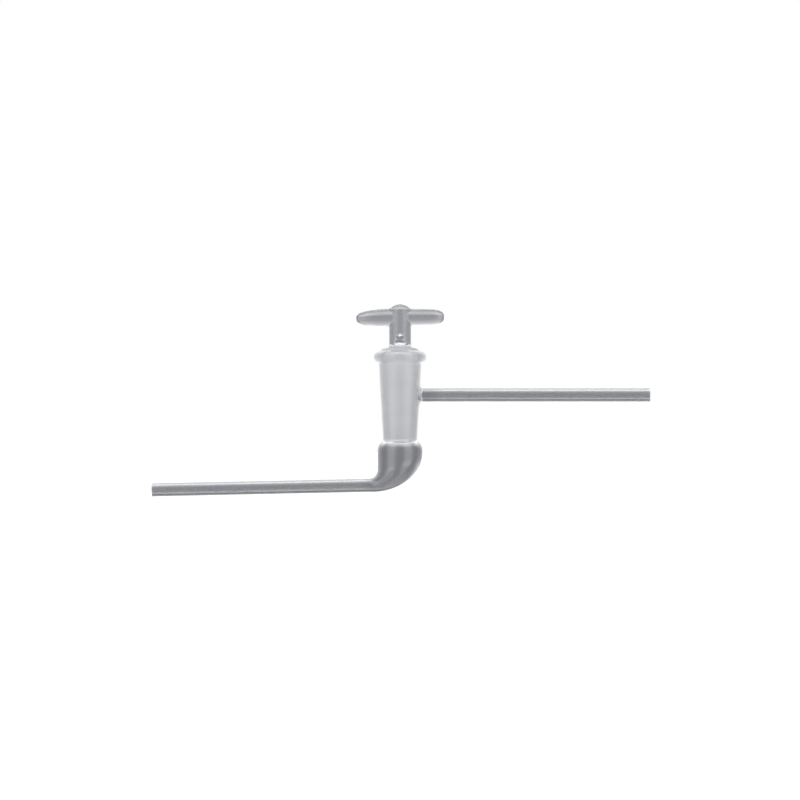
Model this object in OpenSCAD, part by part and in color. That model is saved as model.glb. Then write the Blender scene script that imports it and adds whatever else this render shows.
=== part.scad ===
// Glass stopcock with offset arms: a hollow ground plug turns in a conical barrel. A straight side arm
// enters the barrel's side, and a blown bulb below the plug bends round into a long lower arm.
//
// Millimetres, +Z up along the plug's axis. The origin is where the plug's axis meets the side arm's.
// +X points along the side arm, and the lower arm runs the other way.

/* [Arms] */
// Outside diameter of both arms
arm_od = 8; // [7:0.5:10]
// Wall of both arms
arm_wall = 1.2; // [0.8:0.1:1.6]
// Reach of the side arm from the plug's axis
side_reach = 150; // [60:1:200]
// Reach of the lower arm from the plug's axis
lower_reach = 149; // [80:1:200]
// Fall of the lower arm towards its free end, in degrees
lower_fall = 1.2; // [0:0.1:3]
// Radius of the fire-polished edges at the arms' free ends
polish_r = 0.45; // [0.2:0.05:0.6]
// How far the weld at the side arm's root spreads over the barrel
weld_flare = 2.4; // [1:0.2:4]
// How far that weld runs out along the side arm
weld_run = 1.4; // [0.8:0.2:8]

/* [Barrel] */
// Diameter of the ground bore at the side arm's axis
bore_d = 19.2; // [17:0.1:24]
// Taper of the ground bore: one part on diameter in this many of length
taper_ratio = 10; // [8:1:14]
// Wall of the barrel at its top, under the rim
barrel_wall_top = 2.2; // [1.6:0.1:3]
// Wall of the barrel at its foot
barrel_wall_foot = 1.95; // [1.5:0.05:2.6]
// Height of the rim's top above the side arm's axis
rim_height = 27; // [22:0.2:34]
// Thickness of the rim's rounded bead
rim_bead_d = 6.7; // [5:0.1:8]
// How far the bead stands out past the barrel
rim_overhang = 2.75; // [1.5:0.05:3.4]
// Height of the rim's top above the bead's round
rim_rise = 0.95; // [0.2:0.05:1.6]
// Width of the narrow flat round the rim's mouth
rim_lip = 0.4; // [0.2:0.1:1]
// Length of the barrel below the side arm's axis
barrel_below = 27.5; // [22:0.5:34]

/* [Bulb] */
// Diameter of the bulb at its widest
bulb_d = 27; // [25:0.5:32]
// Wall of the bulb
bulb_wall = 1.5; // [1:0.1:2]
// Height of the bulb's shoulder, from the barrel's foot to the widest section
shoulder_h = 6.8; // [5:0.2:9]
// Depth of the lower arm's axis below the widest section
bulb_depth = 19.9; // [17:0.5:26]
// Run of the bulb's rounded heel, from its far side to the start of the arm
heel_run = 30.1; // [27:0.5:36]
// Radius of the crook between the bulb and the top of the lower arm
crook_r = 5.4; // [3:0.2:8]
// How much fuller the bend is across than it is deep, at its middle
belly = 0.12; // [0:0.02:0.2]

/* [Plug] */
// Running gap between the plug and the ground bore, filled by grease
grease_gap = 0.05; // [0.02:0.01:0.1]
// Wall of the hollow plug
plug_wall = 1.9; // [1.4:0.1:2.6]
// Clear neck left below the plug's foot
neck_gap = 1.3; // [0.5:0.1:4]
// How far the ground cone's top lies below the rim's
plug_sink = 0.1; // [0:0.1:1]
// Height of the plug's domed shoulder
plug_dome_h = 1.75; // [1.5:0.05:4]
// Diameter of the side hole in the plug
port_d = 5; // [3:0.2:5.6]
// Diameter of the hollow where it runs up into the stem
hollow_neck_d = 11; // [8:0.2:11]
// Height of the hollow's dome above the plug's shoulder
hollow_rise = 3.2; // [1.5:0.1:5]

/* [Handle] */
// Diameter of the stem
stem_d = 13; // [12.6:0.1:16]
// Height of the crossbar's axis above the rim's top
bar_height = 19.7; // [16:0.1:30]
// Radius of the stem's domed top
stem_cap_r = 8.2; // [8.2:0.1:14]
// Height of the stem's domed top above the crossbar's axis
stem_cap_rise = 7.8; // [6.5:0.1:10]
// Length of the crossbar from end to end
bar_span = 52.8; // [40:0.2:70]
// Thickness of the crossbar's drawn-out side, at the stem
long_lobe_d = 10.6; // [8:0.1:11]
// Thickness of the crossbar's blunt side, at the stem
blunt_lobe_d = 9.7; // [8:0.1:11]
// Fall of the drawn-out side towards its tip, in degrees
long_lobe_fall = 1.7; // [0:0.1:3]
// Rise of the blunt side towards its tip, in degrees
blunt_lobe_rise = 0.4; // [0:0.1:3]

/* [Hidden] */

$fn = 96;

// Depth by which solids that fuse run into each other
fuse = 0.8;
// How far cutting tools run past what they cut
past = 1;
// Steps in a quarter turn of a revolved curve, and of the small rounding at an arm's end
arc_steps = 8;
polish_steps = 4;
// Sides of the bulb's sections
bulb_sides = 36;
// Sections through the bulb's shoulder, and through its bend
shoulder_steps = 6;
bend_steps = 15;
// Hair's breadth by which the bend stands over the round arm, how far it laps on to the arm, and how
// far its end then tucks into it
bend_lap = 0.06;
bend_lap_run = 0.3;
bend_tuck = 0.5;

arm_r = arm_od / 2;
arm_bore_r = arm_r - arm_wall;

// Ground bore
half_taper = 1 / (2 * taper_ratio);
function bore_r(z) = bore_d / 2 + half_taper * z;

// Barrel, outside. It is straight from its foot to just under the bead.
bead_r = rim_bead_d / 2;
bead_z = rim_height - rim_rise - bead_r;
barrel_top_z = bead_z - bead_r;
foot_z = -barrel_below;
barrel_top_r = bore_r(barrel_top_z) + barrel_wall_top;
barrel_foot_r = bore_r(foot_z) + barrel_wall_foot;
barrel_slope = (barrel_top_r - barrel_foot_r) / (barrel_top_z - foot_z);
function barrel_r(z) = barrel_foot_r + barrel_slope * (z - foot_z);
bead_ring_r = barrel_r(bead_z) + rim_overhang - bead_r;
// The rim slopes from its lip to the bead's round, which it touches at this angle from the level
lip_r = bore_r(rim_height) + rim_lip;
lip_from_bead = [lip_r - bead_ring_r, rim_height - bead_z];
slope_turn = atan2(lip_from_bead[1], lip_from_bead[0]) - acos(bead_r / norm(lip_from_bead));
slope_foot = [bead_ring_r, bead_z] + bead_r * [cos(slope_turn), sin(slope_turn)];

// Bulb. Its shoulder starts inside the foot of the barrel's wall, where the two are fused.
bulb_r = bulb_d / 2;
bulb_z = foot_z - shoulder_h;
shoulder_root_r = barrel_foot_r - fuse;
inner_root_r = bore_r(foot_z) - fuse;
inner_shoulder_h = shoulder_h - bulb_wall / 2;
// The bore's cutter ends half way down the bulb's shoulder, where the bulb's hollow is wider
bore_foot_z = bulb_z + inner_shoulder_h / 2;

// Lower arm. Its axis passes through the heel's end at the bulb's depth.
heel_x = bulb_r - heel_run;
arm_axis_z = bulb_z - bulb_depth;
function lower_axis_z(x) = arm_axis_z + (x - heel_x) * tan(lower_fall);
heel_depth = bulb_depth + arm_r;

// Crook, a fillet between the bulb's near side and the arm's top
crook_x = -bulb_r - crook_r;
crook_z = lower_axis_z(crook_x) + arm_r + crook_r;
// Part of the heel's quarter turn that lies above the crook
heel_start = asin((bulb_z - crook_z) / heel_depth);

// Length of the lower arm past the heel, and where its round run starts there, at the end of the crook
lower_length = (lower_reach + heel_x) / cos(lower_fall);
lower_root = (heel_x - crook_x) / cos(lower_fall);

// Side arm's root. The weld starts where its widest circle is still inside the round barrel.
weld_sink = 0.32;
side_root_x = barrel_r(0) - 2 * fuse;
weld_start_x = sqrt(pow(barrel_r(0), 2) - pow(arm_r + weld_flare, 2)) - weld_sink;
weld_end_x = barrel_r(0) + weld_run;
// The hole through the arm starts well inside the bore
side_hole_x = bore_d / 4;

// Plug, outside and hollow
plug_top_z = rim_height - plug_sink;
plug_foot_z = foot_z + neck_gap;
function plug_r(z) = bore_r(z) - grease_gap;
dome_top_z = plug_top_z + plug_dome_h;
// The hollow follows the cone up to its shoulder, then closes in to its neck just under the dome's top
hollow_shoulder_drop = 2.5 * plug_wall;
hollow_neck_drop = 0.5;
hollow_shoulder_z = plug_top_z - hollow_shoulder_drop;
hollow_neck_z = dome_top_z - hollow_neck_drop;
hollow_top_z = dome_top_z + hollow_rise;
// Radius at which the plug's rounded shoulder levels out
dome_root_r = 4;
stem_r = stem_d / 2;
bar_z = rim_height + bar_height;
stem_top_z = bar_z + stem_cap_rise;

// Crossbar ends: how late the lobe starts to round off, and how full its tip is
long_lobe_form = [3, 0.36];
blunt_lobe_form = [6, 0.33];
lobe_steps = 18;

function mix(a, b, t) = a + (b - a) * t;

// Points of an elliptic arc in the half plane of a revolved profile, from angle a0 to a1
function arc(centre, rx, rz, a0, a1, steps = arc_steps) =
    [for (i = [0:steps]) let (a = mix(a0, a1, i / steps)) centre + [rx * cos(a), rz * sin(a)]];

// One section of a swept tube: [centre, in-plane unit vector, in-plane half depth, half breadth]
function section_ring(s) =
    [for (i = [0:bulb_sides - 1]) let (a = 360 * i / bulb_sides)
        s[0] + s[1] * s[2] * cos(a) + [0, 1, 0] * s[3] * sin(a)];

// Closed solid through a list of sections
module swept_solid(sections) {
    n = bulb_sides;
    last = len(sections) - 1;
    points = [for (s = sections) each section_ring(s)];
    sides = [for (k = [0:last - 1]) for (i = [0:n - 1]) let (j = (i + 1) % n, a = k * n, b = a + n)
        each [[a + i, b + j, b + i], [a + i, a + j, b + j]]];
    start_cap = [for (i = [n - 1:-1:0]) i];
    end_cap = [for (i = [0:n - 1]) last * n + i];
    polyhedron(points = points, faces = concat([start_cap], sides, [end_cap]), convexity = 6);
}

// Round sections of the bulb's shoulder: a quarter of an ellipse from root radius to full radius
function shoulder_sections(root_r, full_r, height) =
    [for (i = [0:shoulder_steps - 1]) let (a = 90 * (1 - i / shoulder_steps),
        r = root_r + (full_r - root_r) * cos(a))
        [[0, 0, bulb_z + height * sin(a)], [1, 0, 0], r, r]];

// The bend's outline: the heel is a quarter of an ellipse, and the near side is straight, then the crook
function heel_point(u) = [heel_x + heel_run * cos(u), bulb_z - heel_depth * sin(u)];
function near_point(u) = u < heel_start
    ? [-bulb_r, mix(bulb_z, crook_z, u / heel_start)]
    : let (a = 90 * (u - heel_start) / (90 - heel_start))
        [crook_x + crook_r * cos(a), crook_z - crook_r * sin(a)];

// One section of the bend at heel angle u, drawn in from the outline by inset
function bend_section(u, inset) =
    let (outer = heel_point(u), near = near_point(u), mid = (outer + near) / 2,
         span = norm(outer - near), along = (outer - near) / span,
         depth = span / 2, breadth = u < 90 ? depth * (1 + belly * sin(2 * u)) : arm_r,
         lap = bend_lap * u / 90)
    [[mid[0], 0, mid[1]], [along[0], 0, along[1]], depth - inset + lap, breadth - inset + lap];

// A round section of the bend at x, past the end of the crook
function arm_section(x, r) = [[x, 0, lower_axis_z(x)], [0, 0, -1], r, r];

function bulb_sections(root_r, height, wall_bulb, wall_arm) = concat(
    shoulder_sections(root_r, bulb_r - wall_bulb, height),
    [for (i = [0:bend_steps]) let (u = 90 * i / bend_steps)
        bend_section(u, mix(wall_bulb, wall_arm, u / 90))],
    [arm_section(crook_x - bend_lap_run, arm_r - wall_arm + bend_lap),
     arm_section(crook_x - fuse, arm_r - wall_arm - bend_tuck)]);

// Straight run of an arm, along +Z from z0 to z1, with a rounded free end
module arm_rod(z0, z1) {
    rotate_extrude()
        polygon(concat([[0, z0], [arm_r, z0]],
            arc([arm_r - polish_r, z1 - polish_r], polish_r, polish_r, 0, 90, polish_steps), [[0, z1]]));
}

// The hole through an arm, along +Z, opening out over the rounded edge of its mouth
module arm_hole(z0, z1) {
    rotate_extrude()
        polygon(concat([[0, z0], [arm_bore_r, z0]],
            arc([arm_bore_r + polish_r, z1 - polish_r], polish_r, polish_r, 180, 90, polish_steps),
            [[arm_bore_r + polish_r, z1 + past], [0, z1 + past]]));
}

// Turns +Z to the side arm's direction
module along_side_arm() {
    rotate([0, 90, 0])
        children();
}

// Turns +Z to the lower arm's direction, with z = 0 at the end of the heel
module along_lower_arm() {
    translate([heel_x, 0, arm_axis_z])
        rotate([0, -90 - lower_fall, 0])
            children();
}

module barrel_outside() {
    rotate_extrude()
        polygon([[0, foot_z - fuse], [barrel_r(foot_z - fuse), foot_z - fuse],
            [barrel_r(bead_z), bead_z], slope_foot, [lip_r, rim_height], [0, rim_height]]);
    rotate_extrude()
        translate([bead_ring_r, bead_z])
            circle(r = bead_r);
}

module side_weld() {
    flare = [for (i = [0:arc_steps]) let (t = i / arc_steps)
        [arm_r + weld_flare * (1 - sqrt(1 - pow(1 - t, 2))), mix(weld_start_x, weld_end_x, t)]];
    along_side_arm()
        rotate_extrude()
            polygon(concat([[0, weld_start_x]], flare, [[0, weld_end_x]]));
}

module body_outside() {
    barrel_outside();
    side_weld();
    along_side_arm()
        arm_rod(side_root_x, side_reach);
    swept_solid(bulb_sections(shoulder_root_r, shoulder_h, 0, 0));
    along_lower_arm()
        arm_rod(lower_root, lower_length);
}

module body_inside() {
    rotate_extrude()
        polygon([[0, bore_foot_z], [bore_r(bore_foot_z), bore_foot_z],
            [bore_r(rim_height + past), rim_height + past], [0, rim_height + past]]);
    along_side_arm()
        arm_hole(side_hole_x, side_reach);
    swept_solid(bulb_sections(inner_root_r, inner_shoulder_h, bulb_wall, arm_wall));
    along_lower_arm()
        arm_hole(lower_root, lower_length);
}

// Barrel, rim, side arm, bulb and lower arm, fused into one piece of glass
module body() {
    color([0.82, 0.84, 0.86, 0.5])
        difference() {
            body_outside();
            body_inside();
        }
}

// Half of the crossbar, along +Z from the stem's axis
module bar_lobe(root_d, form) {
    reach = bar_span / 2;
    outline = [for (i = [0:lobe_steps]) let (t = 1 - pow(1 - i / lobe_steps, 2))
        [root_d / 2 * pow(1 - pow(t, form[0]), form[1]), reach * t]];
    rotate_extrude()
        polygon(concat([[0, 0]], outline));
}

module crossbar() {
    translate([0, 0, bar_z]) {
        rotate([0, -90 - long_lobe_fall, 0])
            bar_lobe(long_lobe_d, long_lobe_form);
        rotate([0, 90 - blunt_lobe_rise, 0])
            bar_lobe(blunt_lobe_d, blunt_lobe_form);
    }
}

// Solid cone with its rounded shoulder
module ground_cone() {
    rotate_extrude()
        polygon(concat([[0, plug_foot_z], [plug_r(plug_foot_z), plug_foot_z]],
            arc([dome_root_r, plug_top_z], plug_r(plug_top_z) - dome_root_r, plug_dome_h, 0, 90),
            [[0, dome_top_z]]));
}

// Space inside the cone, open at its foot and domed where it runs up into the stem
module hollow() {
    open_z = plug_foot_z - past;
    rotate_extrude()
        polygon(concat([[0, open_z], [plug_r(open_z) - plug_wall, open_z],
            [plug_r(hollow_shoulder_z) - plug_wall, hollow_shoulder_z]],
            arc([0, hollow_neck_z], hollow_neck_d / 2, hollow_top_z - hollow_neck_z, 0, 90)));
}

module stem() {
    cap_centre = [0, stem_top_z - stem_cap_r];
    rotate_extrude()
        polygon(concat([[0, dome_top_z - fuse], [stem_r, dome_top_z - fuse]],
            arc(cap_centre, stem_cap_r, stem_cap_r, acos(stem_r / stem_cap_r), 90)));
}

// Hollow ground cone with its side hole, stem and T-handle, one piece of glass
module plug() {
    color([0.78, 0.79, 0.8, 0.8])
        difference() {
            union() {
                ground_cone();
                stem();
                crossbar();
            }
            hollow();
            along_side_arm()
                cylinder(d = port_d, h = bore_d);
        }
}

body();
plug();
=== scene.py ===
"""Glass stopcock: the blown body and its hollow ground plug, as closed glass meshes with their finishes.

Sizes are in millimetres in the part's own frame. Meshes are turned into metres when they are made.
"""
import logging
import math
from dataclasses import dataclass
from enum import Enum, IntEnum
from typing import Any, Callable, Optional, Sequence

import bmesh
import bpy
import numpy as np
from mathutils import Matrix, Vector


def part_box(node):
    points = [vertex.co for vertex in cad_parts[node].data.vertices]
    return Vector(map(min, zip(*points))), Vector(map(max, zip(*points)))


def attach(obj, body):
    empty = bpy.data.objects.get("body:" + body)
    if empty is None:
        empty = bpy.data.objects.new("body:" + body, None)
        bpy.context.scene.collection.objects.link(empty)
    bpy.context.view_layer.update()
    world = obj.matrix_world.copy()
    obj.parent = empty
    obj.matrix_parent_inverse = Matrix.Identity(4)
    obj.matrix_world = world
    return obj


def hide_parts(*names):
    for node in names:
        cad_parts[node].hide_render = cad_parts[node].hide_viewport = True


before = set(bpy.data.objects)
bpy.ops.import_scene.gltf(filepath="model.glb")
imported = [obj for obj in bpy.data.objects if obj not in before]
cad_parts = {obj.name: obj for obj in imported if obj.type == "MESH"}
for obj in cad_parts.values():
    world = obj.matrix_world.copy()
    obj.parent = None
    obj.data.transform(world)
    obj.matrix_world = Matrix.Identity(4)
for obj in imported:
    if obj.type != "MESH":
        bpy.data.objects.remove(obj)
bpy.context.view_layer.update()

LOG = logging.getLogger("stopcock")
MM = 0.001
# Points closer than this, in metres, are one point where surfaces join
SAME_PLACE = 2e-6
# How far along a wall lies the point that gives its direction, in millimetres
AIM = 2.0

Point = tuple[float, float]
Triple = tuple[float, float, float]
Rows = tuple[int, int, int]
# Radius of a turned wall at a height
Wall = Callable[[float], float]
Socket = bpy.types.NodeSocket


class Zone(IntEnum):
    """Which finish a band of glass has. The value is the material's index on the mesh."""

    POLISHED = 0
    GROUND = 1
    HOLLOW = 2


class Side(Enum):
    """Which way along X a joined tube leaves the round wall that it grows from."""

    RIGHT = 1
    LEFT = -1


# ---------------------------------------------------------------- nodes and colours


def add_node(tree: bpy.types.NodeTree, kind: str, feeds: Optional[dict[Any, Any]] = None, out: Any = None,
             **settings: Any) -> Any:
    """Adds one node to a tree.

    Args:
        tree: the tree that gets it.
        kind: the node's Blender type.
        feeds: what goes into its inputs, by name or number: another node's output, or a plain value.
        out: the output that is wanted, by name or number, or None for the node itself.
        settings: its own properties.

    Returns:
        That output, or the node.
    """
    node = tree.nodes.new(kind)
    for key, value in settings.items():
        setattr(node, key, value)
    for key, value in (feeds or {}).items():
        if isinstance(value, Socket):
            tree.links.new(value, node.inputs[key])
        else:
            node.inputs[key].default_value = value
    return node if out is None else node.outputs[out]


def linear(code: str) -> tuple[float, float, float, float]:
    """Turns a colour into a linear one.

    Args:
        code: the colour as an sRGB hex code, such as #c0c0c0.

    Returns:
        Red, green and blue, and an alpha of 1.
    """
    shares = [int(code[i:i + 2], 16) / 255 for i in (1, 3, 5)]
    red, green, blue = [c / 12.92 if c <= 0.04045 else ((c + 0.055) / 1.055) ** 2.4 for c in shares]
    return red, green, blue, 1.0


# ---------------------------------------------------------------- curves of a profile


def mix(a: float, b: float, t: float) -> float:
    """Value a share t of the way from a to b."""
    return a + (b - a) * t


def on(wall: Wall, z: float) -> Point:
    """Point of a turned wall's profile at a height."""
    return wall(z), z


def arc(centre: Point, radii: Point, start: float, end: float, steps: int) -> list[Point]:
    """Points of an elliptic arc in a half plane of radius and height.

    Args:
        centre: the ellipse's centre.
        radii: its half sizes along radius and height.
        start: first angle, in degrees from the outward direction.
        end: last angle.
        steps: number of chords.

    Returns:
        The points, both ends included.
    """
    angles = np.radians(np.linspace(start, end, steps + 1))
    return [(centre[0] + radii[0] * math.cos(a), centre[1] + radii[1] * math.sin(a)) for a in angles]


def round_corner(before: Point, corner: Point, after: Point, radius: float, steps: int) -> list[Point]:
    """Points of the arc that rounds a corner between two straight runs.

    Args:
        before: a point on the run that comes in.
        corner: where the two runs would meet.
        after: a point on the run that goes out.
        radius: the arc's radius.
        steps: number of chords.

    Returns:
        The arc's points, from the first tangent point to the last.
    """
    here = np.array(corner)
    back, ahead = (np.array(p) - here for p in (before, after))
    back, ahead = back / np.linalg.norm(back), ahead / np.linalg.norm(ahead)
    half = math.acos(float(np.clip(back @ ahead, -1, 1))) / 2
    middle = (back + ahead) / np.linalg.norm(back + ahead)
    centre = here + middle * radius / math.sin(half)
    first, last = (here + way * radius / math.tan(half) - centre for way in (back, ahead))
    turn = math.atan2(first[0] * last[1] - first[1] * last[0], float(first @ last))
    points = []
    for t in np.linspace(0, turn, steps + 1):
        c, s = math.cos(t), math.sin(t)
        points.append((centre[0] + c * first[0] - s * first[1], centre[1] + s * first[0] + c * first[1]))
    return points


def shoulder(wall: Wall, foot: float, centre: Point, radii: Point, angles: Triple, rounding: float,
             steps: tuple[int, int]) -> list[Point]:
    """Profile up an elliptic shoulder to the wall that rises from it, with the corner between them rounded.

    Args:
        wall: the wall.
        foot: height at which the wall's radius is taken to find where the two meet.
        centre: the ellipse's centre.
        radii: its half sizes along radius and height.
        angles: in degrees, where the shoulder starts, how far before the corner it ends, and how far before
            the corner lies the point that gives its direction there.
        rounding: the corner's radius.
        steps: number of chords over the shoulder and over the corner.

    Returns:
        The profile's points.
    """
    start, gap, lead = angles
    meet = math.degrees(math.acos((wall(foot) - centre[0]) / radii[0]))
    before, corner = arc(centre, radii, meet - lead, meet, 1)
    rounded = round_corner(before, corner, on(wall, corner[1] + AIM), rounding, steps[1])
    return arc(centre, radii, start, meet - gap, steps[0]) + rounded


# ---------------------------------------------------------------- stations of a loft


@dataclass(frozen=True)
class Station:
    """One ring of a loft: the ellipse centre + across * cos(a) + aside * sin(a).

    Attributes:
        centre: the ring's centre.
        across: half axis that column 0 lies on.
        aside: half axis that the columns turn towards.
        zone: finish of the band from this ring to the next.
        cut: half width, in columns, of the hole left in that band at each joint, or 0.
        joints: how many joints stand evenly round that band.
    """

    centre: Triple
    across: Triple
    aside: Triple
    zone: Zone = Zone.POLISHED
    cut: int = 0
    joints: int = 1

    def point(self, angle: float) -> np.ndarray:
        """Point of the ring at an angle in radians."""
        across, aside = np.array(self.across), np.array(self.aside)
        return np.array(self.centre) + across * math.cos(angle) + aside * math.sin(angle)


def turned(profile: Sequence[Point], zone: Zone = Zone.POLISHED, cut: int = 0,
           joints: int = 1) -> list[Station]:
    """Stations of a surface turned about the plug's axis, from its profile of radius and height."""
    return [Station((0, 0, z), (r, 0, 0), (0, r, 0), zone, cut, joints) for r, z in profile]


def pierced(wall: Wall, levels: Sequence[float], rows: Rows, zone: Zone, half: int,
            joints: int = 1) -> list[Station]:
    """Stations along a turned wall that has holes in it for joints.

    Args:
        wall: the wall.
        levels: heights where the wall starts, where its holes start and end, and where the wall ends.
        rows: rows of faces from each of these heights to the next.
        zone: the wall's finish.
        half: half width of a hole, in columns.
        joints: how many holes stand evenly round it.

    Returns:
        The stations, both ends included.
    """
    stations = []
    for start, end, count, cut in zip(levels, levels[1:], rows, (0, half, 0)):
        heights = np.linspace(start, end, count + 1)[:-1]
        stations += turned([on(wall, z) for z in heights], zone, cut, joints)
    return stations + turned([on(wall, levels[-1])], zone)


@dataclass(frozen=True)
class Line:
    """A straight axis with the two directions that its rings are drawn on.

    Attributes:
        origin: where it starts.
        along: its direction.
        across: the direction of a ring's column 0.
        aside: the direction that the columns turn towards.
    """

    origin: Triple
    along: Triple
    across: Triple
    aside: Triple

    def rings(self, profile: Sequence[Point], zone: Zone = Zone.POLISHED) -> list[Station]:
        """Stations of a round tube on this axis.

        Args:
            profile: its points of radius and distance along the axis.
            zone: its finish.

        Returns:
            The stations.
        """
        ways = (self.origin, self.along, self.across, self.aside)
        origin, along, across, aside = (np.array(v, float) for v in ways)
        return [Station(tuple(origin + along * t), tuple(across * r), tuple(aside * r), zone)
                for r, t in profile]


# ---------------------------------------------------------------- skin over the stations


class RingLoft:
    """Geometry Nodes tree that lays a skin of quads over a row of stations.

    Its inputs are the stations, as points with attributes, the number of rings, the number of sides round
    each ring, and the material of each zone. Holes for the joints are left open where a station says so.
    """

    INPUTS = {
        "Stations": "NodeSocketGeometry",
        "Rings": "NodeSocketInt",
        "Sides": "NodeSocketInt",
        "Polished": "NodeSocketMaterial",
        "Ground": "NodeSocketMaterial",
        "Hollow": "NodeSocketMaterial",
    }

    def __init__(self) -> None:
        """Builds the tree."""
        self.tree = bpy.data.node_groups.new("ring_loft", "GeometryNodeTree")
        self.keys: dict[str, str] = {}
        for label, kind in self.INPUTS.items():
            socket = self.tree.interface.new_socket(label, in_out="INPUT", socket_type=kind)
            self.keys[label] = socket.identifier
        self.tree.interface.new_socket("Skin", in_out="OUTPUT", socket_type="NodeSocketGeometry")
        self.given = add_node(self.tree, "NodeGroupInput").outputs
        self._wire()

    def _station(self, name: str, kind: str, ring: Socket) -> Socket:
        """An attribute of the station with a ring's number.

        Args:
            name: the attribute, or position.
            kind: its data type.
            ring: the ring's number.

        Returns:
            The attribute's value there.
        """
        own = add_node(self.tree, "GeometryNodeInputNamedAttribute", {"Name": name}, "Attribute",
                       data_type=kind)
        feeds = {"Geometry": self.given["Stations"], "Value": own, "Index": ring}
        return add_node(self.tree, "GeometryNodeSampleIndex", feeds, "Value", data_type=kind, domain="POINT")

    def _row_and_column(self, index: Socket, count: Socket) -> tuple[Socket, Socket]:
        """Where a point or a face lies on the grid.

        Args:
            index: its number.
            count: how many there are in a row.

        Returns:
            The numbers of its row and of its column.
        """
        row = add_node(self.tree, "ShaderNodeMath", {0: index, 1: count}, 0, operation="DIVIDE")
        column = add_node(self.tree, "ShaderNodeMath", {0: index, 1: count}, 0, operation="MODULO")
        return add_node(self.tree, "ShaderNodeMath", {0: row}, 0, operation="FLOOR"), column

    def _place(self, ring: Socket, column: Socket) -> Socket:
        """Where a point goes: to its own angle on its own ring.

        Args:
            ring: the ring's number.
            column: the point's number on it.

        Returns:
            The place.
        """
        tree = self.tree
        turn = add_node(tree, "ShaderNodeMath", {0: column, 1: self.given["Sides"]}, 0, operation="DIVIDE")
        angle = add_node(tree, "ShaderNodeMath", {0: turn, 1: math.tau}, 0, operation="MULTIPLY")
        place = self._station("position", "FLOAT_VECTOR", ring)
        for axis, wave in (("across", "COSINE"), ("aside", "SINE")):
            size = add_node(tree, "ShaderNodeMath", {0: angle}, 0, operation=wave)
            half = self._station(axis, "FLOAT_VECTOR", ring)
            step = add_node(tree, "ShaderNodeVectorMath", {"Vector": half, "Scale": size}, 0,
                            operation="SCALE")
            place = add_node(tree, "ShaderNodeVectorMath", {0: place, 1: step}, 0, operation="ADD")
        return place

    def _in_hole(self, band: Socket, column: Socket) -> Socket:
        """Whether a face lies in a hole that is left for a joint.

        Args:
            band: the number of the face's band.
            column: the face's number on it.

        Returns:
            1 where it does.
        """
        tree = self.tree
        middle = add_node(tree, "ShaderNodeMath", {0: column, 1: 0.5}, 0, operation="ADD")
        joints = self._station("joints", "FLOAT", band)
        period = add_node(tree, "ShaderNodeMath", {0: self.given["Sides"], 1: joints}, 0, operation="DIVIDE")
        half = add_node(tree, "ShaderNodeMath", {0: period, 1: 0.5}, 0, operation="MULTIPLY")
        # How many columns the face's middle lies away from the nearest joint
        away = add_node(tree, "ShaderNodeMath", {0: middle, 1: half}, 0, operation="PINGPONG")
        cut = self._station("cut", "FLOAT", band)
        return add_node(tree, "ShaderNodeMath", {0: away, 1: cut}, 0, operation="LESS_THAN")

    def _wire(self) -> None:
        """Adds and links the nodes."""
        tree, given = self.tree, self.given
        index = add_node(tree, "GeometryNodeInputIndex", out="Index")
        columns = add_node(tree, "ShaderNodeMath", {0: given["Sides"], 1: 1.0}, 0, operation="ADD")
        skin = add_node(tree, "GeometryNodeMeshGrid", {
            "Size X": 1.0, "Size Y": 1.0, "Vertices X": given["Rings"], "Vertices Y": columns}, "Mesh")
        place = self._place(*self._row_and_column(index, columns))
        skin = add_node(tree, "GeometryNodeSetPosition", {"Geometry": skin, "Position": place}, "Geometry")

        # A face knows its band's finish, and whether it lies in a joint's hole
        band, column = self._row_and_column(index, given["Sides"])
        skin = add_node(tree, "GeometryNodeStoreNamedAttribute", {
            "Geometry": skin, "Name": "zone", "Value": self._station("zone", "FLOAT", band)},
            "Geometry", data_type="FLOAT", domain="FACE")
        skin = add_node(tree, "GeometryNodeDeleteGeometry", {
            "Geometry": skin, "Selection": self._in_hole(band, column)}, "Geometry",
            domain="FACE", mode="ALL")
        skin = add_node(tree, "GeometryNodeMergeByDistance", {
            "Geometry": skin, "Distance": SAME_PLACE}, "Geometry")
        for kind in ("GeometryNodeSetShadeSmooth", "GeometryNodeRealizeInstances"):
            skin = add_node(tree, kind, {"Geometry": skin}, "Geometry")

        kept = add_node(tree, "GeometryNodeInputNamedAttribute", {"Name": "zone"}, "Attribute",
                        data_type="FLOAT")
        for zone in Zone:
            faces = add_node(tree, "ShaderNodeMath", {0: kept, 1: zone.value, 2: 0.5}, 0, operation="COMPARE")
            skin = add_node(tree, "GeometryNodeSetMaterial", {
                "Geometry": skin, "Selection": faces, "Material": given[zone.name.title()]}, "Geometry")
        add_node(tree, "NodeGroupOutput", {"Skin": skin})

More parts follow.
